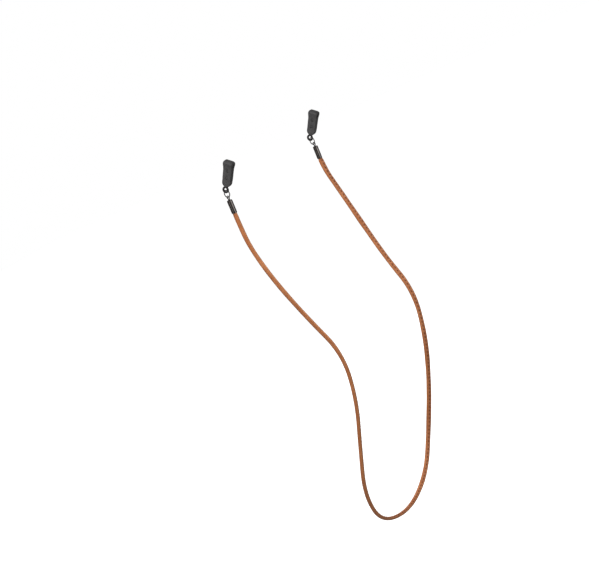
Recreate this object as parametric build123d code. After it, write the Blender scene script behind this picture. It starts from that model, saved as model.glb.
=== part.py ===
from build123d import *
import os
from math import asin, cos, degrees, radians, sin, tan

# Eyeglass retainer strap: one leather cord, crimped at both ends, hung by a jump ring
# from a rubber clip on each temple arm of a pair of glasses.
#
# Frame, in millimetres: the origin is midway between the two temple holes. +X is the
# wearer's left, +Y is towards the back of the head and +Z is up. The temple arms slope
# down towards the back, and the strap hangs plumb below its clips.
# Each clip is modelled in a frame of its own: x along the temple arm towards the back,
# y across it towards -X, and z up the clip, with the temple hole's centre at the origin.

# ---- where the clips sit on the glasses
TEMPLE_SPACING = 132.0      # from one temple arm to the other
TEMPLE_SLOPE = 37.0         # degrees that the arms slope down towards the back
TEMPLE_DIA = 2.4            # of the round temple arm that the clip grips

# ---- rubber clip
CROWN_RADIUS = 2.75         # outside of the crown, seen along the temple arm
CROWN_TOP = 4.0             # top of the crown above the temple hole's centre
CROWN_WIDTH = 8.1           # along the temple arm
CROWN_SIDE = 0.2            # down to this height the crown keeps its full width
CROWN_CORNER = 2.4          # rounding of the crown's top corners, seen square to a leg
WAIST_WIDTH = 7.5
WAIST_HEIGHT = -2.4
LEG_WIDTH = 7.5             # widest part of a leg
LEG_HEIGHT = -8.5           # height of that part
LEG_BACK = 1.95             # outer face of a leg from the clip's middle
LEG_START = -2.8            # where the crown has narrowed to the legs
SLIT = 0.1                  # between the two legs
BLOCK_BACK = 2.1            # the block stands a little proud of the legs
BLOCK_WIDTH = 7.0
BLOCK_TOP = -14.2           # lowest point of the block's scooped top edge
BLOCK_SCOOP = 4.4           # radius of that edge
BLOCK_BOTTOM = -17.4
BLOCK_CORNER = 2.0          # chamfer of the block's lower corners
BLOCK_TAPER = 1.3           # the block's back slopes in by this much towards its bottom
BLOCK_ROUND = 0.8           # rounding under the chamfers

# ---- tail, the leg that opens
HINGE_UP = 2.6              # the tail bends about this height in the crown
HINGE_RADIUS = 1.35         # round end of the tail, about that line
HINGE_GAP = 0.08
TAIL_GAP = 0.2              # between the tail's tip and the block
PEG_HEIGHTS = (-4.0, -9.8)
PEG_RADIUS = 0.8
PEG_RECESS = 0.35           # the peg tips stop this far inside the front leg's face
SLOT_WIDTH = 1.9
SLOT_HEIGHT = 2.9
SLOT_DROP = 0.25            # the slots reach lower than the pegs, for the pegs' arc
RIB_RADIUS = 0.35           # finger ribs on the outside of the tail
RIB_LENGTH = 7.4
RIB_HEIGHTS = (-4.1, -12.0)

# ---- eye loop under the clip
EYE_DROP = 20.4             # centre of the eye below the temple hole's centre
EYE_SHIFT = -0.85           # and along the temple arm, towards the front
EYE_WIRE = 0.85             # radius of its wire
EYE_BEND = 1.95             # radius of its lower bend, to the middle of the wire
EYE_TIP = 1.4               # radius of its upper bend
EYE_RISE = 0.9              # centre of that bend above the eye's centre
EYE_SHANK = 5.6             # top of its anchor above its centre
ANCHOR_RADIUS = 1.0
ANCHOR_THICK = 0.8

# ---- jump ring
RING_WIRE = 0.4
RING_BEND = 2.8
RING_TOP_DROP = 0.45        # middle of the ring's wire below the eye's centre
RING_TURN = 4.0             # degrees that the ring is turned from square across
RING_SPLAY = 14.0           # degrees that the ring hangs outwards from plumb
RING_CUT = 0.12             # the slit where the wire's ends meet

# ---- crimp
CRIMP_LEAN = 5.0            # degrees that the crimps lean from plumb, towards the front
LOOP_WIRE = 0.38
LOOP_BEND = 1.0
LOOP_STRAIGHT = 0.3
LOOP_CLEAR = 0.3            # between the loop and the ring that it hangs on
NECK_RADIUS = 0.7
SLEEVE_DROP = 2.0           # top of the sleeve below the ring's lowest wire
SLEEVE_RADIUS = 2.15
SLEEVE_LENGTH = 10.7
SLEEVE_CAP = 1.0            # thickness of its closed end
SLEEVE_ROUND = 0.6          # rounding of its shoulder
SLEEVE_LIP = 0.12           # rounding of its mouth

# ---- leather cord
CORD_RADIUS = 1.7
CORD_BORE = 0.85            # hollow of the leather, round the core
CORE_RADIUS = 0.8
CORD_GRIP = 8.0             # length of cord inside each sleeve
CORD_EXIT = 8.0             # straight run outside each sleeve
THREAD_RADIUS = 0.25
CORNER_SHARE = 0.45         # share of the shorter run that a bend uses

# The left strand from below its sleeve to the lowest point. The right one mirrors it.
STRAND = [
    (70.7, -13.0, -63.0),
    (70, -7.0, -94.0),
    (66, 2.4, -130.0),
    (63, 14.5, -164.0),
    (62, 6.5, -202.0),
    (63, -11.0, -241.0),
    (59.5, -30.0, -279.0),
    (42, -40.5, -311.2),
    (0, -42.0, -323.4),
]

SIDES = {"left": 1, "right": -1}
HOLE_RADIUS = TEMPLE_DIA / 2
SLOPE = radians(TEMPLE_SLOPE)
CROWN_MIDDLE = CROWN_TOP - CROWN_RADIUS
CLIP_REACH = CROWN_RADIUS + 1   # past both faces of the clip
BIG = 60.0                  # larger than any clip, for cutting halves away


def clip_frame(side):
    """The frame of the clip on one side: x along its temple arm and z up the clip."""
    middle = (side * TEMPLE_SPACING / 2, 0, 0)
    return Plane(origin=middle, x_dir=(0, cos(SLOPE), -sin(SLOPE)), z_dir=(0, sin(SLOPE), cos(SLOPE)))


def eye_centre(side):
    """Centre of the eye's hole, which the jump ring hangs in."""
    return Vector(clip_frame(side).from_local_coords((EYE_SHIFT, 0, -EYE_DROP)))


def on_ring(side, below_top):
    """A point of the ring's own diameter, which leans outwards from the eye."""
    splay = radians(RING_SPLAY)
    drop = RING_TOP_DROP + below_top
    return eye_centre(side) + Vector(side * sin(splay), 0, -cos(splay)) * drop


def crimp_frame(side):
    """The frame of a crimp: its origin is the ring's lowest wire, and -z runs down the sleeve."""
    return Location(on_ring(side, 2 * RING_BEND), (-CRIMP_LEAN, 0, 0))


# ---------------------------------------------------------------- rubber clip

def clip_section():
    """The closed clip seen along the temple arm (y across, z up), with its temple hole."""
    crown = Pos(0, CROWN_MIDDLE) * Circle(CROWN_RADIUS)
    taper = Polygon(
        (-CROWN_RADIUS, CROWN_MIDDLE),
        (CROWN_RADIUS, CROWN_MIDDLE),
        (LEG_BACK, LEG_START),
        (LEG_BACK, BLOCK_BOTTOM),
        (-LEG_BACK, BLOCK_BOTTOM),
        (-LEG_BACK, LEG_START),
        align=None,
    )
    return crown + taper - Circle(HOLE_RADIUS)


def clip_face():
    """The outline of the clip seen square to its front leg (x along the temple arm, z up)."""
    crown = CROWN_WIDTH / 2
    block = BLOCK_WIDTH / 2
    right = [
        (crown, CROWN_TOP),
        (crown, CROWN_SIDE),
        (WAIST_WIDTH / 2, WAIST_HEIGHT),
        (LEG_WIDTH / 2, LEG_HEIGHT),
        (block, BLOCK_BOTTOM + BLOCK_CORNER),
        (block - BLOCK_CORNER, BLOCK_BOTTOM),
    ]
    left = [(-x, z) for x, z in reversed(right)]
    outline = Polygon(*right, *left, align=None)
    outline = fillet(outline.vertices().group_by(Axis.Y)[-1], CROWN_CORNER)
    return fillet(outline.vertices().group_by(Axis.Y)[0], BLOCK_ROUND)


def beyond(y):
    """The half of a section on the tail's side of y."""
    return Pos(y + BIG / 2, 0) * Rectangle(BIG, BIG)


def above(z):
    """The half of a section above z."""
    return Pos(0, z + BIG / 2) * Rectangle(BIG, BIG)


def along_temple(section):
    """A section (y, z) drawn out along the temple arm."""
    return extrude(Plane.YZ * section, CROWN_WIDTH, both=True)


def across_clip(outline, half_thickness):
    """An outline (x, z) drawn out to both faces of the clip."""
    return extrude(Plane.XZ * outline, half_thickness, both=True)


def block_section():
    """The block seen along the temple arm, thinner towards its bottom on the tail's side."""
    return Polygon(
        (-BLOCK_BACK, CROWN_TOP),
        (BLOCK_BACK, CROWN_TOP),
        (BLOCK_BACK, BLOCK_TOP + BLOCK_CORNER),
        (BLOCK_BACK - BLOCK_TAPER, BLOCK_BOTTOM),
        (-BLOCK_BACK, BLOCK_BOTTOM),
        align=None,
    )


def over_scoop(radius):
    """The region above a scooped edge of this radius, for the block's top and the tail's tip."""
    centre = BLOCK_TOP + BLOCK_SCOOP
    return Pos(0, centre) * Circle(radius) + Pos(0, centre + BIG / 2) * Rectangle(BIG, BIG)


def clip_body(eye):
    """Front leg, its half of the crown, and the block that holds the eye loop."""
    section = clip_section() - beyond(-SLIT / 2) - Pos(0, HINGE_UP) * Circle(HINGE_RADIUS + HINGE_GAP)
    # The thin horn that this leaves over the hinge goes, so that the tail is free to turn.
    section -= beyond(-HINGE_RADIUS - 2 * HINGE_GAP) & above(HINGE_UP)
    leg = along_temple(section) & across_clip(clip_face(), CLIP_REACH)
    for z in PEG_HEIGHTS:
        slot = Pos(0, z - SLOT_DROP) * SlotOverall(SLOT_HEIGHT, SLOT_WIDTH, rotation=90)
        leg -= across_clip(slot, CLIP_REACH)
    leg -= along_temple(beyond(-SLIT / 2)) & across_clip(over_scoop(BLOCK_SCOOP), CLIP_REACH)
    block = across_clip(clip_face() - over_scoop(BLOCK_SCOOP), BLOCK_BACK)
    return leg + (block & along_temple(block_section())) - eye


def clip_tail():
    """The leg that opens: its half of the crown, two pegs and two finger ribs."""
    section = clip_section() & (beyond(SLIT / 2) + Pos(0, HINGE_UP) * Circle(HINGE_RADIUS))
    tongue = clip_face() & over_scoop(BLOCK_SCOOP - TAIL_GAP)
    tail = along_temple(section) & across_clip(tongue, CLIP_REACH)
    peg_tip = LEG_BACK - PEG_RECESS
    peg_length = peg_tip + LEG_BACK / 2
    for z in PEG_HEIGHTS:
        tail += Pos(0, peg_length / 2 - peg_tip, z) * Rot(90, 0, 0) * Cylinder(PEG_RADIUS, peg_length)
    for z in RIB_HEIGHTS:
        tail += Pos(0, LEG_BACK, z) * Rot(0, 90, 0) * Cylinder(RIB_RADIUS, RIB_LENGTH)
    return tail


def wire_loop(low_bend, high_bend, rise, wire):
    """A closed loop of round wire in the xz plane, round the origin and a point above it."""
    lean = degrees(asin((low_bend - high_bend) / rise))
    low = CenterArc((0, 0), low_bend, -90, 90 + lean)
    high = CenterArc((0, rise), high_bend, lean, 90 - lean)
    path = Plane.XZ * Wire([low, Line(low @ 1, high @ 0), high])
    start = Plane(path @ 0, z_dir=path % 0)
    half = sweep(start * Circle(wire), path=path)
    return half + mirror(half, Plane.YZ)


def eye_loop():
    """A bent-wire teardrop below the block, with its shank and anchor inside the block."""
    eye = wire_loop(EYE_BEND, EYE_TIP, EYE_RISE, EYE_WIRE)
    loop_top = EYE_RISE + EYE_TIP
    shank = EYE_SHANK - loop_top
    eye += Pos(0, 0, loop_top + shank / 2) * Cylinder(EYE_WIRE, shank)
    eye += Pos(0, 0, EYE_SHANK - ANCHOR_THICK / 2) * Cylinder(ANCHOR_RADIUS, ANCHOR_THICK)
    return Pos(EYE_SHIFT, 0, -EYE_DROP) * eye


# ---------------------------------------------------------------- ring and crimp

def jump_ring():
    """A round wire ring with a fine slit at one side, centred on the origin."""
    ring = Torus(RING_BEND, RING_WIRE, rotation=(90, 0, 0))
    slit = Pos(RING_BEND, 0, 0) * Box(4 * RING_WIRE, 4 * RING_WIRE, RING_CUT)
    return Rot(0, 0, -RING_TURN) * (ring - slit)


def crimp_loop():
    """A long wire loop that hangs on the ring, with a neck down into the sleeve."""
    top = LOOP_CLEAR + RING_WIRE + LOOP_WIRE
    low_centre = top - LOOP_BEND - LOOP_STRAIGHT
    loop = Pos(0, 0, low_centre) * wire_loop(LOOP_BEND, LOOP_BEND, LOOP_STRAIGHT, LOOP_WIRE)
    neck_top = low_centre - LOOP_BEND
    neck_bottom = -SLEEVE_DROP - SLEEVE_CAP
    neck = Pos(0, 0, (neck_top + neck_bottom) / 2) * Cylinder(NECK_RADIUS, neck_top - neck_bottom)
    return Rot(0, 0, 90) * (loop + neck)


def crimp_sleeve():
    """The barrel pressed on the cord: a tube with a closed, rounded top."""
    barrel = Cylinder(SLEEVE_RADIUS, SLEEVE_LENGTH, align=(Align.CENTER, Align.CENTER, Align.MAX))
    barrel = fillet(barrel.edges().group_by(Axis.Z)[-1], SLEEVE_ROUND)
    barrel = fillet(barrel.edges().group_by(Axis.Z)[0], SLEEVE_LIP)
    depth = SLEEVE_LENGTH - SLEEVE_CAP
    bore = Pos(0, 0, -SLEEVE_CAP - depth / 2) * Cylinder(CORD_RADIUS, depth)
    neck_hole = Cylinder(NECK_RADIUS, SLEEVE_LENGTH)
    return Pos(0, 0, -SLEEVE_DROP) * (barrel - bore - neck_hole)


# ---------------------------------------------------------------- cord

def cord_route():
    """The corners of the cord's route, from inside the left sleeve to inside the right one."""
    mouth = SLEEVE_DROP + SLEEVE_LENGTH
    ends = [mouth - CORD_GRIP, mouth + CORD_EXIT]
    left = [(crimp_frame(1) * Location((0, 0, -z))).position for z in ends]
    left += [Vector(p) for p in STRAND]
    right = [Vector(-p.X, p.Y, p.Z) for p in reversed(left[:-1])]
    return left + right


def bend_radii(points):
    """The largest bend that the two runs at each corner leave room for."""
    radii = []
    for before, corner, after in zip(points, points[1:], points[2:]):
        turn = (corner - before).get_angle(after - corner)
        shorter = min((corner - before).length, (after - corner).length)
        radii.append(CORNER_SHARE * shorter / tan(radians(turn) / 2))
    return radii


def cord_tube(points, radius, bore=None):
    """A round tube along a route, or a solid cord if it has no bore."""
    path = FilletPolyline(*points, radius=bend_radii(points))
    start = Plane(path @ 0, z_dir=path % 0)
    profile = Circle(radius)
    if bore:
        profile -= Circle(bore)
    tube = sweep(start * profile, path=path)
    expected = profile.area * path.length
    print(f"radius {radius}: length {path.length:.1f}, volume {tube.volume:.1f} of {expected:.1f}")
    return tube


def make_cord():
    """The leather cover, the core inside it and the seam's thread."""
    route = cord_route()
    runs = [(b - a).length for a, b in zip(route, route[1:])]
    print("runs ", [round(run, 1) for run in runs])
    print("radii", [round(radius, 1) for radius in bend_radii(route)])
    seam = Vector(0, CORD_RADIUS - THREAD_RADIUS, 0)
    return {
        "leather_cover": cord_tube(route, CORD_RADIUS, CORD_BORE),
        "core_cord": cord_tube(route, CORE_RADIUS),
        "seam_thread": cord_tube([p + seam for p in route], THREAD_RADIUS),
    }


# ---------------------------------------------------------------- assembly

def make_side(name, side):
    """The six pieces between one temple arm and the cord."""
    at_clip = clip_frame(side).location
    at_crimp = crimp_frame(side)
    eye = eye_loop()
    return {
        f"{name}_clip_body": at_clip * clip_body(eye),
        f"{name}_clip_tail": at_clip * clip_tail(),
        f"{name}_eye_loop": at_clip * eye,
        f"{name}_jump_ring": Pos(*on_ring(side, RING_BEND)) * jump_ring(),
        f"{name}_crimp_loop": at_crimp * crimp_loop(),
        f"{name}_crimp_sleeve": at_crimp * crimp_sleeve(),
    }


os.makedirs("parts", exist_ok=True)
pieces = make_cord()
for side_name, side_sign in SIDES.items():
    pieces.update(make_side(side_name, side_sign))
for node, shape in pieces.items():
    export_step(shape, f"parts/{node}.step")
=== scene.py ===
from math import cos, pi, radians, sin

import bpy
import numpy as np
from mathutils import Matrix, Vector


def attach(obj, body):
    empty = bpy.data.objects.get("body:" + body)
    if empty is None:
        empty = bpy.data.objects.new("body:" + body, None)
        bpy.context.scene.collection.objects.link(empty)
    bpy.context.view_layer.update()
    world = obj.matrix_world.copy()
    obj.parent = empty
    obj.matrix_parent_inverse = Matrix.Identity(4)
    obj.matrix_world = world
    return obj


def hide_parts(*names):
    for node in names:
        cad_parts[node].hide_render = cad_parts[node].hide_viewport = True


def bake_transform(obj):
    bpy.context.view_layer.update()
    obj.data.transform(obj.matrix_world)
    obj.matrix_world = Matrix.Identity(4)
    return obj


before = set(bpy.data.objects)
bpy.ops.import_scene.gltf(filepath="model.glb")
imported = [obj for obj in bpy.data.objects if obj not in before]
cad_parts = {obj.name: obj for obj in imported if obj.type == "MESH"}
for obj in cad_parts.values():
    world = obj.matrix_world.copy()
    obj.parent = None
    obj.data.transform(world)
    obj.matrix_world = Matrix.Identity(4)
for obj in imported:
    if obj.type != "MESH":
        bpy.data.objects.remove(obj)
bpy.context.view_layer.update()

# Eyeglass retainer strap: a stitched leather cord, crimped at both ends, which hangs by a
# jump ring from a rubber clip on each temple arm. Places are in metres, in the shared frame:
# +X towards the wearer's left, +Y towards the back of the head, +Z up. Sizes are in mm where
# a heading says so, and are multiplied by MM where they are used.

MM = 0.001

# ---- camera
PICTURE_WIDTH = 600         # pixels
FOCAL_PIXELS = 1598.8       # focal length in pixels of that picture
SENSOR = 36                 # mm
CAMERA_PLACE = (1.01596, 0.715491, 0.067072)
CAMERA_RIGHT = Vector((-0.4831, 0.7565, -0.4409))
CAMERA_UP = Vector((-0.3696, 0.2803, 0.8859))

# ---- clips, each in a frame of its own, in mm: x along the temple arm towards the back, y
# across it towards -X, and z up the clip, with the temple hole's centre at the origin
TEMPLE_SLOPE = radians(37)
CLIP_X = 0.066              # from the middle of the glasses to each clip
ALONG = Vector((0, cos(TEMPLE_SLOPE), -sin(TEMPLE_SLOPE)))
ACROSS = Vector((-1, 0, 0))
UPWARD = Vector((0, sin(TEMPLE_SLOPE), cos(TEMPLE_SLOPE)))

HOLE_RADIUS = 1.2           # the hole for the temple arm
CROWN_RADIUS = 2.75
CROWN_TOP = 4.0
# Outline seen square to a leg: x, z, and how far from each corner its bend starts.
FACE_SIDE = [(4.05, 4.0, 2.4), (4.05, 0.2, 1.1), (3.75, -2.4, 1.5), (3.75, -8.5, 2.5),
             (3.5, -15.4, 1.3), (1.5, -17.4, 0.9)]
OUTLINE_STEPS = 6           # points in each bend of an outline
LEG_BACK = 1.95             # from the slit to a leg's outer face
LEG_START = -2.8            # where the crown's bend has reached the leg
LEG_BOTTOM = -20            # below the outline, which cuts the legs to length
# Outline of the thick lower block, seen from the side: y, z, and each bend's start.
BLOCK_SIDE = [(2.1, 0, 0.1), (2.1, -12.2, 1.8), (0.8, -17.4, 0.7), (-2.1, -17.4, 0.9),
              (-2.1, 0, 0.1)]
SCOOP_CENTRE = -9.8         # the block's upper edge is a round scoop about this point
SCOOP_RADIUS = 4.4
TAIL_GAP = 0.06             # between the tail's tip and the block's scoop
SLIT = 0.05                 # half the gap between the legs
SLOTS = (-4.25, -10.05)     # heights of the front leg's slots
SLOT_RADIUS = 0.95
SLOT_REACH = 0.38           # half the straight part
PEGS = (-4.0, -9.8)         # heights of the tail's pegs
PEG_RADIUS = 0.85
PEG_REACH = 0.12            # half the straight part
PEG_ROOT = 0.6              # inside the tail
PEG_TIP = -1.82
RIBS = ((-4.1, 3.6), (-12.0, 3.4))      # each rib's height and half its length
RIB_RADIUS = 0.35
TONGUE = 0.35               # the tail's root runs this far up inside the crown
TONGUE_INSET = 0.04         # and this far under the crown's skin
# How far each edge is rounded, and each crease is filled.
LONG_EDGE = 0.55
HOLE_EDGE = 0.25
SLOT_EDGE = 0.12
SLIT_EDGE = 0.05
CUT_EDGE = 0.02
BLOCK_EDGE = 0.45
SCOOP_EDGE = 0.16
TIP_EDGE = 0.15
RIB_END = 0.3
PEG_EDGE = 0.2
BLOCK_CREASE = 0.08
RIB_CREASE = 0.25
PEG_CREASE = 0.12
# Painted shade on the rubber, darker over the crown's top and down its rear side: where each side
# of it starts, and over what length it grows.
PAINTED_SHADE_TOP = (2.2, 1.2)
PAINTED_SHADE_SIDE = (3.1, 0.6)
PAINTED_SHADE_FOOT = (-14, 4)
PAINTED_SHADE_SIDE_SHARE = 0.5
# The boxes that hold the front part and the tail, and the mesh size inside them.
GRIP_BOX = ((-4.55, -3.25, -17.95), (4.5, 3.2, 4.5))
FLAP_BOX = ((-4.55, -2.25, -14.95), (4.5, 3.2, 0.9))
NET_STEP = 0.15
SETTLE_ROUNDS = 4
SETTLE_REACH = 0.02         # the slope is measured over this distance each way
SETTLE_STEP = 0.06          # and no point moves further than this in one round

# ---- crimp sleeves: their axis hangs from the jump ring's lowest wire
CRIMP_AT = (0.0674636, -0.0129559, -0.0216509)
CRIMP_DOWN = (0, -0.08716, -0.99619)
# Half section of a sleeve: radius and height in mm, from the neck down the outside, round the
# lip and back up its bore.
SLEEVE_SECTION = [(0.72, -1.85), (0.98, -1.85), (1.04, -1.91), (1.06, -2.02), (1.45, -2.04),
                  (1.70, -2.08), (1.90, -2.19), (2.04, -2.35), (2.12, -2.55), (2.15, -2.80),
                  (2.15, -5.05), (2.15, -7.55), (2.15, -10.05), (2.15, -12.00), (2.13, -12.10),
                  (2.13, -12.17), (2.15, -12.27), (2.15, -12.55), (2.11, -12.65),
                  (2.00, -12.70), (1.82, -12.70), (1.75, -12.66), (1.72, -12.55),
                  (1.70, -10.55), (1.70, -6.55), (1.70, -3.15), (1.60, -3.00), (0.72, -3.00)]
SLEEVE_POINTS = 64

# ---- cord route: control points of its left half, from inside the left sleeve
ROUTE_LEFT = [
    (0.0674636, -0.0133655, -0.0263330),
    (0.0674636, -0.0147600, -0.0422721),
    (0.0707, -0.0130, -0.0630),
    (0.070, -0.0070, -0.0940),
    (0.066, 0.0024, -0.1300),
    (0.063, 0.0145, -0.1640),
    (0.062, 0.0065, -0.2020),
    (0.063, -0.0110, -0.2410),
    (0.0595, -0.0300, -0.2790),
    (0.042, -0.0405, -0.3112),
    (0, -0.0420, -0.3234),
]
ROUTE = ROUTE_LEFT + [(-x, y, z) for x, y, z in reversed(ROUTE_LEFT[:-1])]

# ---- leather, in mm. Its section is a folded strip: a round part over the core and a flange
# along the seam. "across" runs over its width, towards the flange.
LEATHER_WIDTH = 4.0
LEATHER_THICK = 3.0
GRIPPED_WIDTH = 3.36        # inside the sleeves
GRIPPED_THICK = 3.3
GRIP_LENGTH = 8.0           # inside each sleeve
SPREAD_LENGTH = 3.0         # from a sleeve's mouth to the full section
SPREAD_LEAD = 0.3           # it starts to spread this far inside the mouth
BODY_SQUARE = (0.86, 0.8)   # powers of the round part's width and height: 1 is an ellipse
FLANGE_SQUARE = 0.55
FLANGE_THICK = 0.68         # of the round part's thickness
FLANGE_FROM = 0.1           # the round part turns into the flange from here,
FLANGE_OVER = 1.3           # over this width
# The width is a little uneven, as cut by hand: share of the width, run in mm, phase.
UNEVEN = ((0.035, 9.7, 0.6), (0.02, 4.3, 2.0))
CORE_BORE = 0.85            # radius
BORE_POINTS = 12            # a third of the outer ring's points
BORE_EVERY = 12             # outer rings to each ring of the bore
RING_STEP = 0.42            # between the rings of points along the cord
RING_POINTS = 36
FRAME_REACH = 1.2           # the cord's direction is measured over this distance each way
SEAM_ACROSS = 0.90          # the stitch line from the middle of the width
SEAM_WIDTH = 0.42
SEAM_DEPTH = 0.26
SEAM_FACE = 0.2             # only the inner face above this height has the seam
PAD_WIDTH = 2.1             # of the seam's width
PAD_HEIGHT = 0.16           # the leather bulges between two stitches
PAD_SHARPNESS = 1.5
STITCH_PITCH = 3.35
STITCH_LENGTH = 1.9
STITCH_RADIUS = 0.36
STITCH_FLAT = 0.62          # thickness through the leather, of that across it
STITCH_BLUNT = 0.6          # power of the stitch's ends: 1 is an ellipse
STITCH_SLANT = 8.0          # degrees
STITCH_LIFT = 0.10          # above the bottom of its pinch
STITCH_DIP = 0.18           # both ends dive this far into the leather
STITCH_RINGS = 9
STITCH_POINTS = 12
SEAM_MARGIN = 1.5           # from a sleeve's mouth to the first stitch
# Degrees of twist about the cord's own line, at shares of its length from the left end.
TWISTS = [(0, -10), (0.14, -12), (0.29, -38), (0.36, -34), (0.45, -15), (0.55, -15),
          (0.66, -14), (0.78, -4), (0.9, -24), (1, -26)]

# ---- braided core, in mm
CORE_RADIUS = 0.78
CORE_STRANDS = 8
CORE_RIPPLE = 0.06          # the braid's strands stand this proud
CORE_TURN = 1.1             # radians of the braid's turn for each mm
CORE_POINTS = 24
CORE_STEP = 0.8
CORE_SHORT = 0.2            # the core ends this far inside each end of the leather

# ---- light and floor. Softboxes: azimuth from +X towards +Y and elevation in degrees,
# distance, width and height in metres, power, and whether smooth surfaces reflect it.
SOFTBOXES = {
    "key": (20, 58, 0.75, 0.5, 0.5, 5.2, False),
    "front": (30, 4, 1.3, 0.9, 0.9, 1.7, False),
    "strip_right": (85, 6, 1.3, 0.8, 1.3, 9.5, True),
    "strip_left": (-2, 6, 1.3, 0.25, 1.1, 1.4, True),
    "back": (215, 20, 1.3, 1.0, 1.0, 4.0, True),
}
REFLECTED_ONLY = ("strip_right", "strip_left")
LIGHT_CENTRE = Vector((0, 0, -0.12))
STUDIO_FILL = 0.30          # the studio is white to the eye, and this bright as a light
FLOOR_HEIGHT = -0.42
FLOOR_REACH = 6.0
FLOOR_GLOW = 0.75


# ---------------------------------------------------------------- lines

def curve_points(route):
    """Points of the smooth line of a route, read from its NURBS spline."""
    curve = bpy.data.curves.new("route", "CURVE")
    curve.dimensions = "3D"
    spline = curve.splines.new("NURBS")
    spline.points.add(len(route) - 1)
    for point, place in zip(spline.points, route):
        point.co = (*place, 1)
    spline.order_u = 3
    spline.use_endpoint_u = True
    spline.resolution_u = 48
    holder = bpy.data.objects.new("route", curve)
    mesh = bpy.data.meshes.new_from_object(holder)
    points = np.array([v.co for v in mesh.vertices], float)
    bpy.data.objects.remove(holder)
    bpy.data.curves.remove(curve)
    bpy.data.meshes.remove(mesh)
    return points


class Line:
    """A smooth line, sampled by its length, with a frame that stays level with +Y."""

    def __init__(self, points):
        steps = np.linalg.norm(np.diff(points, axis=0), axis=1)
        self.points = points
        self.lengths = np.concatenate([[0], np.cumsum(steps)])
        self.length = self.lengths[-1]

    def at(self, s):
        return np.stack([np.interp(s, self.lengths, self.points[:, k]) for k in range(3)], axis=1)

    def frames(self, s):
        """Places, tangents, width axes and inner normals at these lengths, with the twist."""
        reach = FRAME_REACH * MM
        tangent = self.at(s + reach) - self.at(s - reach)
        tangent /= np.linalg.norm(tangent, axis=1)[:, None]
        level = np.array([0.0, 1.0, 0.0])
        width = level - tangent * (tangent @ level)[:, None]
        width /= np.linalg.norm(width, axis=1)[:, None]
        inner = np.cross(width, tangent)
        share = np.array([t for t, _ in TWISTS]) * self.length
        angle = np.radians(smooth_interp(s, share, [a for _, a in TWISTS]))[:, None]
        turned = width * np.cos(angle) + inner * np.sin(angle)
        inner = inner * np.cos(angle) - width * np.sin(angle)
        return self.at(s), tangent, turned, inner


def ease(t):
    """From 0 to 1, slow at both ends."""
    t = np.clip(t, 0, 1)
    return t * t * (3 - 2 * t)


def smooth_interp(x, xs, ys):
    """Interpolation that eases in and out of every listed value."""
    xs = np.asarray(xs, float)
    ys = np.asarray(ys, float)
    k = np.clip(np.searchsorted(xs, x, side="right") - 1, 0, len(xs) - 2)
    return ys[k] + (ys[k + 1] - ys[k]) * ease((x - xs[k]) / (xs[k + 1] - xs[k]))


# ---------------------------------------------------------------- meshes

def new_object(name, verts, faces):
    """A smooth-shaded mesh object in the scene."""
    mesh = bpy.data.meshes.new(name)
    mesh.from_pydata([tuple(v) for v in verts], [], faces)
    mesh.update()
    obj = bpy.data.objects.new(name, mesh)
    bpy.context.scene.collection.objects.link(obj)
    for poly in mesh.polygons:
        poly.use_smooth = True
    return obj


def ring_faces(first, second, around):
    """Quads between two rings of points, given the index of each ring's first point."""
    return [(first + k, first + (k + 1) % around, second + (k + 1) % around, second + k)
            for k in range(around)]


def store(obj, **layers):
    """Numbers kept on the mesh's points for its material."""
    for name, values in layers.items():
        layer = obj.data.attributes.new(name, "FLOAT", "POINT")
        layer.data.foreach_set("value", np.asarray(values, np.float32).reshape(-1))


# ---- leather, core and stitches

def section_shape(phi):
    """The leather's section: across and through, in mm, at angles round it."""
    across = np.cos(phi)
    through = np.sin(phi)
    half = LEATHER_WIDTH / 2
    thick = LEATHER_THICK / 2
    a = half * np.sign(across) * np.abs(across) ** BODY_SQUARE[0]
    body = thick * np.abs(through) ** BODY_SQUARE[1]
    flange = FLANGE_THICK * thick * np.abs(through) ** FLANGE_SQUARE
    share = ease((a - FLANGE_FROM) / FLANGE_OVER)
    return a, np.sign(through) * (body * (1 - share) + flange * share)


def spread_at(s, length):
    """How far the leather has opened from its gripped section, 0 to 1."""
    ends = np.minimum(s, length - s) / MM
    return ease((ends - GRIP_LENGTH + SPREAD_LEAD) / SPREAD_LENGTH)


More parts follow.
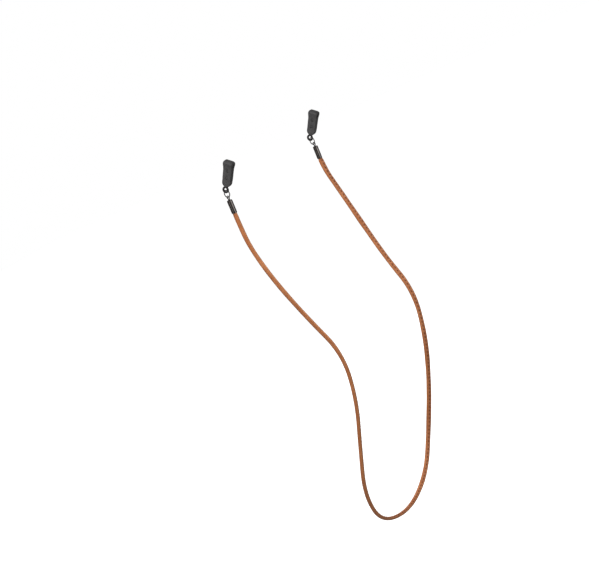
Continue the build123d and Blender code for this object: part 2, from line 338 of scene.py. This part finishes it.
def make_leather(line):
    """The folded leather: its skin, the bore for the core, and both ends."""
    count = int(line.length / (RING_STEP * MM)) + 1
    s = np.linspace(0, line.length, count)
    place, _, width, inner = line.frames(s)
    phi = np.arange(RING_POINTS) * 2 * pi / RING_POINTS
    a, t = section_shape(phi)
    spread = spread_at(s, line.length)[:, None]
    aa = np.cos(phi) * GRIPPED_WIDTH / 2 * (1 - spread) + a * spread
    tt = np.sin(phi) * GRIPPED_THICK / 2 * (1 - spread) + t * spread
    # The seam is a furrow in the inner face, pinched at every stitch and padded between them.
    pinch = 0.5 + 0.5 * np.cos(2 * pi * (s / MM) / STITCH_PITCH)[:, None]
    near = np.exp(-(((a - SEAM_ACROSS) / SEAM_WIDTH) ** 2)) * (t > SEAM_FACE)
    wide = np.exp(-(((a - SEAM_ACROSS) / (PAD_WIDTH * SEAM_WIDTH)) ** 2)) * (t > SEAM_FACE)
    tt = tt - spread * near * SEAM_DEPTH * pinch
    tt = tt + spread * wide * PAD_HEIGHT * (1 - pinch) ** PAD_SHARPNESS
    wave = sum(share * np.sin(s / MM / run + phase) for share, run, phase in UNEVEN)
    aa = aa * (1 + wave[:, None] * spread)

    def rings(rows, across, through):
        return (place[rows, None, :] + width[rows, None, :] * (across * MM)[:, :, None]
                + inner[rows, None, :] * (through * MM)[:, :, None]).reshape(-1, 3)

    n, m = RING_POINTS, BORE_POINTS
    few = np.unique(np.append(np.arange(0, count - 1, BORE_EVERY), count - 1))
    theta = np.arange(m) * 2 * pi / m
    bore = np.ones((len(few), 1)) * CORE_BORE
    verts = np.concatenate([rings(np.arange(count), aa, tt),
                            rings(few, np.cos(theta) * bore, np.sin(theta) * bore)])
    faces = []
    for r in range(count - 1):
        faces += ring_faces(r * n, (r + 1) * n, n)
    first = count * n
    for r in range(len(few) - 1):
        faces += ring_faces(first + (r + 1) * m, first + r * m, m)
    # Each end is closed between the skin and the bore.
    per = n // m
    for outer, bore_ring, start in ((0, first, True), ((count - 1) * n, len(verts) - m, False)):
        for k in range(m):
            edge = [outer + (per * k + j) % n for j in range(per + 1)]
            back = [bore_ring + (k + 1) % m, bore_ring + k]
            face = edge + back
            faces.append(tuple(reversed(face)) if start else tuple(face))
    obj = new_object("leather_cord", verts, faces)
    inside = np.zeros(len(few) * m)
    store(obj,
          along=np.concatenate([np.repeat(s, n), np.repeat(s[few], m)]),
          across=np.concatenate([np.tile(a, count) * MM, inside]),
          face=np.concatenate([np.tile(t, count) * MM, inside]),
          stitch=np.concatenate([(near * pinch).reshape(-1), inside]),
          pad=np.concatenate([(wide * (1 - pinch)).reshape(-1), inside]),
          furrow=np.concatenate([np.tile(wide, count), inside]))
    return obj


def make_core(line):
    """The braided core inside the leather: a tube with a ripple for its strands."""
    n = CORE_POINTS
    count = int(line.length / (CORE_STEP * MM)) + 1
    s = np.linspace(CORE_SHORT * MM, line.length - CORE_SHORT * MM, count)
    place, _, width, inner = line.frames(s)
    phi = np.arange(n) * 2 * pi / n
    turn = s[:, None] / MM * CORE_TURN
    ripple = np.cos(CORE_STRANDS / 2 * phi + turn) * np.cos(CORE_STRANDS / 2 * phi - turn)
    radius = (CORE_RADIUS - CORE_RIPPLE + CORE_RIPPLE * ripple) * MM
    verts = (place[:, None, :] + width[:, None, :] * (radius * np.cos(phi))[:, :, None]
             + inner[:, None, :] * (radius * np.sin(phi))[:, :, None]).reshape(-1, 3)
    faces = [tuple(reversed(range(n))), tuple((count - 1) * n + k for k in range(n))]
    for r in range(count - 1):
        faces += ring_faces(r * n, (r + 1) * n, n)
    obj = new_object("core_braid", verts, faces)
    store(obj, along=np.repeat(s, n))
    return obj


def make_stitches(line):
    """One short length of waxed thread in every pinch of the seam."""
    rings = STITCH_RINGS
    n = STITCH_POINTS
    first = int((GRIP_LENGTH + SEAM_MARGIN) / STITCH_PITCH) + 1
    last = int((line.length / MM - GRIP_LENGTH - SEAM_MARGIN) / STITCH_PITCH)
    s = np.arange(first, last + 1) * STITCH_PITCH * MM
    place, tangent, width, inner = line.frames(s)
    across, through = section_shape(np.linspace(0.02, pi - 0.02, 400))
    top = np.interp(SEAM_ACROSS, across[::-1], through[::-1])
    height = top - SEAM_DEPTH + STITCH_LIFT
    verts, faces, along = [], [], []
    theta = np.linspace(0, pi, rings + 2)[1:-1]
    phi = np.arange(n) * 2 * pi / n
    for k in range(len(s)):
        # No two stitches lie quite alike.
        slant = radians(STITCH_SLANT + 4 * sin(k * 2.3))
        length = STITCH_LENGTH / 2 * (1 + 0.06 * sin(k * 1.7))
        run = tangent[k] * cos(slant) + width[k] * sin(slant)
        side = width[k] * cos(slant) - tangent[k] * sin(slant)
        centre = place[k] + (width[k] * SEAM_ACROSS + inner[k] * height) * MM
        base = len(verts)
        verts.append(centre - run * length * MM)
        for a in theta:
            x = -length * cos(a)
            thick = STITCH_RADIUS * sin(a) ** STITCH_BLUNT
            dip = STITCH_DIP * (x / length) ** 2
            for b in phi:
                rise = STITCH_FLAT * thick * sin(b) - dip
                offset = run * x + side * thick * cos(b) + inner[k] * rise
                verts.append(centre + offset * MM)
        verts.append(centre + run * length * MM)
        end = len(verts) - 1
        faces += [(base, base + 1 + (j + 1) % n, base + 1 + j) for j in range(n)]
        for r in range(rings - 1):
            faces += ring_faces(base + 1 + r * n, base + 1 + (r + 1) * n, n)
        low = base + 1 + (rings - 1) * n
        faces += [(low + j, low + (j + 1) % n, end) for j in range(n)]
        along += [s[k]] * (end - base + 1)
    obj = new_object("seam_stitches", verts, faces)
    store(obj, along=np.array(along))
    return obj


# ---- clips, as signed distances in mm: negative inside

def outline(corners):
    """A closed outline with a smooth bend at every corner (x, z, reach)."""
    points = []
    count = len(corners)
    for k, (x, z, reach) in enumerate(corners):
        here = np.array([x, z], float)
        before = np.array(corners[k - 1][:2], float) - here
        after = np.array(corners[(k + 1) % count][:2], float) - here
        start = here + before / np.linalg.norm(before) * reach
        stop = here + after / np.linalg.norm(after) * reach
        for t in np.linspace(0, 1, OUTLINE_STEPS):
            points.append(tuple(start * (1 - t) ** 2 + here * 2 * t * (1 - t) + stop * t * t))
    return points


def polygon_distance(x, z, corners):
    """Signed distance from a closed outline: negative inside it."""
    best = 1e9
    inside = False
    for (x0, z0), (x1, z1) in zip(corners, corners[1:] + corners[:1]):
        ex, ez = x1 - x0, z1 - z0
        size = ex * ex + ez * ez
        if size < 1e-12:
            continue
        t = np.clip(((x - x0) * ex + (z - z0) * ez) / size, 0, 1)
        best = np.minimum(best, (x - x0 - t * ex) ** 2 + (z - z0 - t * ez) ** 2)
        if ez != 0:
            crossed = ((z0 > z) != (z1 > z)) & (x < ex * (z - z0) / ez + x0)
            inside = inside ^ crossed
    return np.where(inside, -1, 1) * np.sqrt(best)


def both(a, b, r):
    """What two shapes share, with the edge between them rounded to r."""
    corner = np.hypot(np.maximum(a + r, 0), np.maximum(b + r, 0))
    return np.minimum(-r, np.maximum(a, b)) + corner


def either(a, b, r):
    """Two shapes joined, with the crease between them filled to r."""
    return -both(-a, -b, r)


def crown_section():
    """Section of the crown and both legs: a round top that bends in to the legs."""
    arc = np.linspace(0, pi, 25)
    middle = CROWN_TOP - CROWN_RADIUS
    crown = [(CROWN_RADIUS * cos(t), middle + CROWN_RADIUS * sin(t)) for t in arc]
    flank = outline([(CROWN_RADIUS, middle, 1.4), (LEG_BACK, LEG_START, 2.0),
                     (LEG_BACK, LEG_BOTTOM, 0.1)])
    right = flank[OUTLINE_STEPS:2 * OUTLINE_STEPS]
    foot = [(-LEG_BACK, LEG_BOTTOM), (LEG_BACK, LEG_BOTTOM)]
    return crown + [(-x, z) for x, z in right] + foot + right[::-1]


SECTION = crown_section()
FACE = outline(FACE_SIDE + [(-x, z, r) for x, z, r in reversed(FACE_SIDE)])
BLOCK = outline(BLOCK_SIDE)


def moulding(x, y, z):
    """The closed clip without its block: crown and both legs, with the temple hole."""
    solid = both(polygon_distance(y, z, SECTION), polygon_distance(x, z, FACE), LONG_EDGE)
    return both(solid, HOLE_RADIUS - np.hypot(y, z), HOLE_EDGE)


def above_scoop(x, z, radius):
    """Everything above the scoop's centre, and the disc about it."""
    return np.minimum(np.hypot(x, z - SCOOP_CENTRE) - radius, SCOOP_CENTRE - z)


def oval(x, z, height, radius, reach):
    """A pill that stands upright: its distance square to the leg's face."""
    return np.hypot(x, np.maximum(np.abs(z - height) - reach, 0)) - radius


def grip_shape(x, y, z):
    """Front leg with its slots, whole crown and block."""
    kept = either(y + SLIT, -z, CUT_EDGE)
    leg = both(moulding(x, y, z), kept, SLIT_EDGE)
    for height in SLOTS:
        leg = both(leg, -oval(x, z, height, SLOT_RADIUS, SLOT_REACH), SLOT_EDGE)
    block_face = both(polygon_distance(x, z, FACE), -above_scoop(x, z, SCOOP_RADIUS), SCOOP_EDGE)
    block = both(block_face, polygon_distance(y, z, BLOCK), BLOCK_EDGE)
    return either(leg, block, BLOCK_CREASE)


def flap_shape(x, y, z):
    """The leg that opens, with its pegs, ribs and the tongue that roots it in the crown."""
    half = both(moulding(x, y, z), SLIT - y, SLIT_EDGE)
    tip = both(half, above_scoop(x, z, SCOOP_RADIUS - TAIL_GAP), TIP_EDGE)
    flap = np.maximum(tip, z)
    flap = np.minimum(flap, np.maximum(half + TONGUE_INSET, np.abs(z) - TONGUE))
    for height, reach in RIBS:
        ridge = np.hypot(y - LEG_BACK, z - height) - RIB_RADIUS
        flap = either(flap, both(ridge, np.abs(x) - reach, RIB_END), RIB_CREASE)
    for height in PEGS:
        peg = oval(x, z, height, PEG_RADIUS, PEG_REACH)
        peg = both(peg, np.maximum(PEG_TIP - y, y - PEG_ROOT), PEG_EDGE)
        flap = either(flap, peg, PEG_CREASE)
    return flap


def surface_net(shape, low, high, step):
    """Points and quads of a shape's surface, from its distances on a grid."""
    axes = [np.arange(a, b + step, step) for a, b in zip(low, high)]
    grid = np.meshgrid(*axes, indexing="ij", sparse=True)
    f = shape(*grid)
    size = np.array(f.shape)
    cells = size - 1
    total = np.zeros((*cells, 3))
    count = np.zeros(cells, int)

    def corners(c):
        return f[tuple(slice(c[k], c[k] + cells[k]) for k in range(3))]

    # One point for each cell that the surface crosses: the mean of its crossed edges.
    for axis in range(3):
        for u in (0, 1):
            for v in (0, 1):
                start = [0, 0, 0]
                start[(axis + 1) % 3] = u
                start[(axis + 2) % 3] = v
                stop = list(start)
                stop[axis] = 1
                f0, f1 = corners(start), corners(stop)
                cross = (f0 < 0) != (f1 < 0)
                t = np.where(cross, f0 / np.where(cross, f0 - f1, 1), 0)
                total[..., axis] += t
                for k in ((axis + 1) % 3, (axis + 2) % 3):
                    total[..., k] += cross * start[k]
                count += cross
    used = count > 0
    index = np.full(cells, -1)
    index[used] = np.arange(used.sum())
    points = np.argwhere(used) + total[used] / count[used][:, None]
    points = np.array([a[0] for a in axes]) + points * step
    # One quad for each crossed edge, between the four cells round it.
    faces = []
    for axis in range(3):
        b, c = (axis + 1) % 3, (axis + 2) % 3
        f0 = np.take(f, range(size[axis] - 1), axis)
        f1 = np.take(f, range(1, size[axis]), axis)
        at = np.argwhere((f0 < 0) != (f1 < 0))
        at = at[(at[:, b] > 0) & (at[:, b] < cells[b]) & (at[:, c] > 0) & (at[:, c] < cells[c])]
        quad = []
        for ob, oc in ((-1, -1), (0, -1), (0, 0), (-1, 0)):
            cell = at.copy()
            cell[:, b] += ob
            cell[:, c] += oc
            quad.append(index[tuple(cell.T)])
        quad = np.stack(quad, axis=1)
        inward = f0[tuple(at.T)] >= 0
        quad[inward] = quad[inward][:, ::-1]
        faces += quad.tolist()
    return points, faces


def settle(points, shape):
    """Moves points onto the shape's true surface."""
    reach = SETTLE_REACH
    for _ in range(SETTLE_ROUNDS):
        x, y, z = points.T
        value = shape(x, y, z)
        slope = np.stack([shape(x + reach, y, z) - shape(x - reach, y, z),
                          shape(x, y + reach, z) - shape(x, y - reach, z),
                          shape(x, y, z + reach) - shape(x, y, z - reach)], axis=1) / (2 * reach)
        steep = np.maximum((slope ** 2).sum(axis=1), 0.25)
        move = -slope * (value / steep)[:, None]
        far = np.maximum(np.linalg.norm(move, axis=1) / SETTLE_STEP, 1)
        points = points + move / far[:, None]
    return points


def shaded_part(points):
    """Where the rubber gets painted shade: over the crown's top and down its rear side."""
    x, _, z = points.T

    def grow(value, start, over):
        return ease((value - start) / over)

    side = PAINTED_SHADE_SIDE_SHARE * grow(x, *PAINTED_SHADE_SIDE) * grow(z, *PAINTED_SHADE_FOOT)
    return np.maximum(grow(z, *PAINTED_SHADE_TOP), side)


def clip_place(side, points):
    """Points of a clip's own frame, in mm, as places in the shared frame."""
    turn = np.array([ALONG, ACROSS, UPWARD])
    return np.asarray(points, float) @ turn * MM + np.array([side * CLIP_X, 0, 0])


# ---- sleeves

def make_sleeve(name, side):
    """The turned barrel, from its half section."""
    down = Vector((side * CRIMP_DOWN[0], CRIMP_DOWN[1], CRIMP_DOWN[2])).normalized()
    top = Vector((side * CRIMP_AT[0], CRIMP_AT[1], CRIMP_AT[2]))
    first = down.cross(Vector((1, 0, 0))).normalized()
    second = down.cross(first)
    n = SLEEVE_POINTS
    verts = []
    for radius, height in SLEEVE_SECTION:
        for k in range(n):
            angle = 2 * pi * k / n
            out = first * cos(angle) + second * sin(angle)
            verts.append(top + (out * radius - down * height) * MM)
    count = len(SLEEVE_SECTION)
    faces = []
    for r in range(count):
        faces += ring_faces(r * n, (r + 1) % count * n, n)
    return new_object(name, verts, faces)


# ---------------------------------------------------------------- materials

class Paint:
    """A material and short calls for its nodes."""

    def __init__(self, name):
        self.material = bpy.data.materials.new(name)
        self.material.use_nodes = True
        self.tree = self.material.node_tree
        self.shader = self.tree.nodes["Principled BSDF"]

    def node(self, kind, inputs=(), **settings):
        node = self.tree.nodes.new(kind)
        for key, value in settings.items():
            setattr(node, key, value)
        for key, value in dict(inputs).items():
            self.put(node.inputs[key], value)
        return node

    def put(self, socket, value):
        if isinstance(value, bpy.types.NodeSocket):
            self.tree.links.new(value, socket)
        else:
            socket.default_value = value

    def set(self, **values):
        for key, value in values.items():
            self.put(self.shader.inputs[key.replace("_", " ")], value)

    def place(self):
        """The place on the object, in metres."""
        return self.node("ShaderNodeTexCoord").outputs["Object"]

    def stored(self, name):
        """A number kept on the mesh's points."""
        return self.node("ShaderNodeAttribute", attribute_name=name).outputs["Fac"]

    def stretch(self, vector, scale):
        return self.node("ShaderNodeMapping", {"Vector": vector, "Scale": scale}).outputs[0]

    def noise(self, vector, size, detail=3, rough=0.55):
        """Soft noise whose features are about this size, in mm."""
        inputs = {"Vector": vector, "Scale": 1 / (size * MM), "Detail": detail, "Roughness": rough}
        return self.node("ShaderNodeTexNoise", inputs).outputs[0]

    def cells(self, vector, size):
        """Distance to the edges of cells of about this size, in mm."""
        inputs = {"Vector": vector, "Scale": 1 / (size * MM)}
        return self.node("ShaderNodeTexVoronoi", inputs, feature="DISTANCE_TO_EDGE").outputs[0]

    def math(self, operation, a, b):
        node = self.node("ShaderNodeMath", operation=operation)
        self.put(node.inputs[0], a)
        self.put(node.inputs[1], b)
        return node.outputs[0]

    def span(self, value, low, high, to_low=0.0, to_high=1.0):
        """A value mapped from one range to another, and held inside it."""
        inputs = {"Value": value, "From Min": low, "From Max": high,
                  "To Min": to_low, "To Max": to_high}
        return self.node("ShaderNodeMapRange", inputs).outputs[0]

    def mix(self, share, first, second):
        """Two colours mixed by a share, 0 to 1."""
        node = self.node("ShaderNodeMix", data_type="RGBA")
        self.put(node.inputs[0], share)
        self.put(node.inputs[6], first)
        self.put(node.inputs[7], second)
        return node.outputs[2]

    def bump(self, height, depth, strength=1.0, normal=None):
        """Relief of this depth, in mm."""
        inputs = {"Height": height, "Distance": depth * MM, "Strength": strength}
        if normal is not None:
            inputs["Normal"] = normal
        return self.node("ShaderNodeBump", inputs).outputs[0]


def colour(red, green, blue):
    """A screen colour, 0 to 255, as linear light."""
    def linear(v):
        v /= 255
        return v / 12.92 if v <= 0.04045 else ((v + 0.055) / 1.055) ** 2.4
    return (linear(red), linear(green), linear(blue), 1)


def leather_paint():
    p = Paint("tan_leather")
    along = p.stored("along")
    across = p.stored("across")
    face = p.stored("face")
    strip = p.node("ShaderNodeCombineXYZ", {0: along, 1: across, 2: face}).outputs[0]
    where = p.place()
    # Patina: broad clouds, then blotches a few millimetres long, then the grain.
    clouds = p.span(p.noise(where, 45, 2), 0.38, 0.62)
    blotch = p.span(p.noise(p.stretch(strip, (0.45, 1.0, 1.0)), 2.6, 4, 0.6), 0.36, 0.66)
    grain = p.noise(where, 0.5, 5, 0.65)
    creases = p.cells(p.stretch(strip, (1.0, 0.75, 0.75)), 0.62)
    base = p.mix(clouds, colour(192, 120, 72), colour(214, 140, 90))
    base = p.mix(p.math("MULTIPLY", blotch, 0.62), base, colour(170, 98, 54))
    base = p.mix(p.span(grain, 0.52, 0.72, 0, 0.45), base, colour(142, 78, 42))
    base = p.mix(p.span(creases, 0.0, 0.12, 0.3, 0), base, colour(122, 58, 30))
    # Lighter on the pads of the seam and along the flange's edge, darker in the furrow and at each
    # stitch's pinch.
    pad_lightening = p.math("MULTIPLY", p.stored("pad"), 0.55)
    base = p.mix(pad_lightening, base, colour(222, 150, 108))
    base = p.mix(p.math("MULTIPLY", p.stored("furrow"), 0.42), base, colour(138, 72, 38))
    edge = p.span(across, 1.72 * MM, 1.95 * MM, 0, 0.45)
    base = p.mix(edge, base, colour(205, 138, 92))
    base = p.mix(p.span(p.stored("stitch"), 0.15, 0.9, 0, 0.6), base, colour(112, 58, 32))
    rough = p.span(p.math("ADD", p.math("MULTIPLY", blotch, 0.4), grain), 0.4, 1.1, 0.5, 0.72)
    normal = p.bump(grain, 0.05, 0.55)
    normal = p.bump(p.span(creases, 0.0, 0.16), 0.04, 0.45, normal)
    p.set(Base_Color=base, Roughness=rough, Normal=normal)
    p.set(Specular_IOR_Level=0.35, Coat_Weight=0.06, Coat_Roughness=0.42)
    return p.material


def thread_paint():
    p = Paint("waxed_thread")
    where = p.place()
    along = p.stored("along")
    ply = p.node("ShaderNodeTexWave", {"Vector": p.stretch(where, (1.0, 1.0, 1.35)),
                                       "Scale": 1 / (0.9 * MM), "Distortion": 1.5,
                                       "Detail": 2.0}, wave_type="BANDS").outputs[1]
    fuzz = p.noise(where, 0.18, 3)
    shade = p.noise(p.node("ShaderNodeCombineXYZ", {0: along}).outputs[0], 9, 2)
    base = p.mix(p.span(shade, 0.35, 0.65), colour(112, 62, 36), colour(136, 78, 48))
    base = p.mix(p.math("MULTIPLY", ply, 0.45), base, colour(88, 46, 28))
    base = p.mix(p.span(fuzz, 0.5, 0.75, 0, 0.4), base, colour(140, 84, 56))
    p.set(Base_Color=base, Roughness=p.span(fuzz, 0.3, 0.7, 0.5, 0.8),
          Normal=p.bump(p.math("ADD", ply, p.math("MULTIPLY", fuzz, 0.6)), 0.07, 0.8))
    p.set(Specular_IOR_Level=0.3)
    return p.material


def core_paint():
    p = Paint("braided_core")
    where = p.place()
    fuzz = p.noise(where, 0.25, 4)
    weave = p.cells(p.stretch(where, (1.0, 1.0, 0.6)), 0.5)
    base = p.mix(p.span(fuzz, 0.35, 0.7), colour(214, 205, 186), colour(184, 172, 148))
    base = p.mix(p.span(weave, 0, 0.2, 0.5, 0), base, colour(120, 108, 88))
    p.set(Base_Color=base, Roughness=p.span(fuzz, 0.3, 0.7, 0.75, 0.95),
          Normal=p.bump(weave, 0.1, 0.7))
    return p.material


def rubber_paint():
    p = Paint("moulded_rubber")
    where = p.place()
    clouds = p.span(p.noise(where, 3.2, 3), 0.35, 0.68)
    specks = p.noise(where, 0.22, 5, 0.6)
    pits = p.cells(where, 0.42)
    dust = p.span(p.noise(where, 1.1, 5, 0.7), 0.56, 0.74)
    base = p.mix(clouds, colour(66, 65, 66), colour(80, 79, 79))
    base = p.mix(p.span(specks, 0.5, 0.7, 0, 0.5), base, colour(56, 55, 56))
    base = p.mix(p.math("MULTIPLY", dust, 0.3), base, colour(104, 101, 98))
    # Painted shade: the rubber is darkened over the crown's top and down its rear side.
    base = p.mix(p.math("MULTIPLY", p.stored("shaded"), 0.7), base, colour(34, 33, 34))
    rough = p.span(p.math("ADD", specks, p.math("MULTIPLY", clouds, 0.3)), 0.4, 1.0, 0.55, 0.78)
    normal = p.bump(specks, 0.035, 0.6)
    normal = p.bump(p.span(pits, 0, 0.1), 0.02, 0.35, normal)
    p.set(Base_Color=base, Roughness=rough, Normal=normal)
    p.set(Specular_IOR_Level=0.42, Sheen_Weight=0.08, Sheen_Roughness=0.45)
    return p.material


def gunmetal_paint():
    p = Paint("gunmetal_plate")
    where = p.place()
    stain = p.span(p.noise(where, 2.4, 4), 0.34, 0.68)
    drawn = p.noise(p.stretch(where, (1.0, 1.0, 0.04)), 0.16, 3)
    specks = p.noise(where, 0.3, 5, 0.65)
    base = p.mix(stain, colour(82, 78, 76), colour(96, 91, 88))
    base = p.mix(p.span(specks, 0.58, 0.75, 0, 0.35), base, colour(66, 62, 60))
    rough = p.span(p.math("ADD", p.math("MULTIPLY", stain, 0.4), specks), 0.3, 1.1, 0.16, 0.26)
    normal = p.bump(drawn, 0.002, 0.3)
    normal = p.bump(specks, 0.002, 0.2, normal)
    p.set(Base_Color=base, Roughness=rough, Normal=normal)
    p.set(Metallic=1.0)
    return p.material


def black_wire_paint():
    p = Paint("black_wire")
    where = p.place()
    specks = p.noise(where, 0.35, 5, 0.6)
    worn = p.span(p.noise(where, 1.3, 4), 0.55, 0.75)
    base = p.mix(worn, colour(30, 29, 30), colour(52, 50, 49))
    base = p.mix(p.span(specks, 0.55, 0.75, 0, 0.6), base, colour(20, 20, 21))
    p.set(Base_Color=base, Roughness=p.span(specks, 0.3, 0.7, 0.3, 0.5),
          Normal=p.bump(specks, 0.025, 0.4))
    p.set(Specular_IOR_Level=0.5, Coat_Weight=0.25, Coat_Roughness=0.25)
    return p.material


# ---------------------------------------------------------------- pieces

line = Line(curve_points(ROUTE))
leather = make_leather(line)
core = make_core(line)
stitches = make_stitches(line)

leather.data.materials.append(leather_paint())
core.data.materials.append(core_paint())
stitches.data.materials.append(thread_paint())
for piece, node, slot in ((leather, "leather_cover", "leather"), (core, "core_cord", "core"),
                          (stitches, "seam_thread", "thread")):
    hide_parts(node)
    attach(piece, "strap")

rubber = rubber_paint()
gunmetal = gunmetal_paint()
black_wire = black_wire_paint()
grip_points, grip_faces = surface_net(grip_shape, *GRIP_BOX, NET_STEP)
flap_points, flap_faces = surface_net(flap_shape, *FLAP_BOX, NET_STEP)
grip_points = settle(grip_points, grip_shape)
flap_points = settle(flap_points, flap_shape)

for side_name, side in (("left", 1), ("right", -1)):
    grip = new_object(f"{side_name}_clip_grip", clip_place(side, grip_points), grip_faces)
    flap = new_object(f"{side_name}_clip_flap", clip_place(side, flap_points), flap_faces)
    # Each clip keeps the share of painted shade on its points.
    store(grip, shaded=shaded_part(grip_points))
    store(flap, shaded=shaded_part(flap_points))
    sleeve = make_sleeve(f"{side_name}_sleeve", side)
    for piece, paint, slot in ((grip, rubber, "rubber"), (flap, rubber, "rubber"),
                               (sleeve, gunmetal, "gunmetal")):
        piece.data.materials.append(paint)
    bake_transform(grip)
    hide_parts(f"{side_name}_clip_body")
    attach(flap, f"{side_name}_tail")
    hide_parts(f"{side_name}_clip_tail")
    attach(sleeve, "strap")
    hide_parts(f"{side_name}_crimp_sleeve")
    for node, paint in (("eye_loop", black_wire), ("jump_ring", gunmetal),
                        ("crimp_loop", gunmetal)):
        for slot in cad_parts[f"{side_name}_{node}"].material_slots:
            slot.material = paint

# ---------------------------------------------------------------- camera, light and floor

camera_data = bpy.data.cameras.new("camera")
camera = bpy.data.objects.new("camera", camera_data)
bpy.context.scene.collection.objects.link(camera)
camera_data.sensor_width = SENSOR
camera_data.lens = FOCAL_PIXELS / PICTURE_WIDTH * SENSOR
camera_back = CAMERA_RIGHT.cross(CAMERA_UP)
turn = Matrix((CAMERA_RIGHT, CAMERA_UP, camera_back)).transposed()
camera.matrix_world = Matrix.Translation(CAMERA_PLACE) @ turn.to_4x4()
camera_data.clip_start = 0.05
camera_data.clip_end = 50
bpy.context.scene.camera = camera
bpy.context.scene.view_settings.view_transform = "Standard"

for name, (azimuth, elevation, distance, wide, tall, power, shows) in SOFTBOXES.items():
    data = bpy.data.lights.new(name, "AREA")
    data.shape = "RECTANGLE"
    data.size = wide
    data.size_y = tall
    data.energy = power
    lamp = bpy.data.objects.new(name, data)
    lamp.visible_camera = False
    lamp.visible_glossy = shows
    lamp.visible_diffuse = name not in REFLECTED_ONLY
    bpy.context.scene.collection.objects.link(lamp)
    a = radians(azimuth)
    e = radians(elevation)
    back = Vector((cos(a) * cos(e), sin(a) * cos(e), sin(e)))
    lamp.matrix_world = (Matrix.Translation(LIGHT_CENTRE + back * distance)
                         @ back.to_track_quat("Z", "Y").to_matrix().to_4x4())

# The studio: white to the eye, and a softer grey as a light.
world = bpy.data.worlds.new("studio")
bpy.context.scene.world = world
world.use_nodes = True
tree = world.node_tree
background = tree.nodes["Background"]
background.inputs["Color"].default_value = (1, 1, 1, 1)
seen = tree.nodes.new("ShaderNodeLightPath").outputs["Is Camera Ray"]
level = tree.nodes.new("ShaderNodeMapRange")
level.inputs["To Min"].default_value = STUDIO_FILL
level.inputs["To Max"].default_value = 1.0
tree.links.new(seen, level.inputs["Value"])
tree.links.new(level.outputs[0], background.inputs["Strength"])

floor_corners = [(x * FLOOR_REACH, y * FLOOR_REACH, FLOOR_HEIGHT)
                 for x, y in ((-1, -1), (1, -1), (1, 1), (-1, 1))]
floor = new_object("floor", floor_corners, [(0, 1, 2, 3)])
paper = Paint("pale_paper")
fibre = paper.noise(paper.place(), 4, 4)
paper.set(Base_Color=paper.mix(fibre, (0.96, 0.96, 0.96, 1), (0.99, 0.99, 0.985, 1)),
          Roughness=paper.span(fibre, 0.3, 0.7, 0.8, 0.95))
paper.set(Emission_Color=(1, 1, 1, 1), Emission_Strength=FLOOR_GLOW)
floor.data.materials.append(paper.material)
floor.visible_diffuse = False
floor.visible_glossy = False
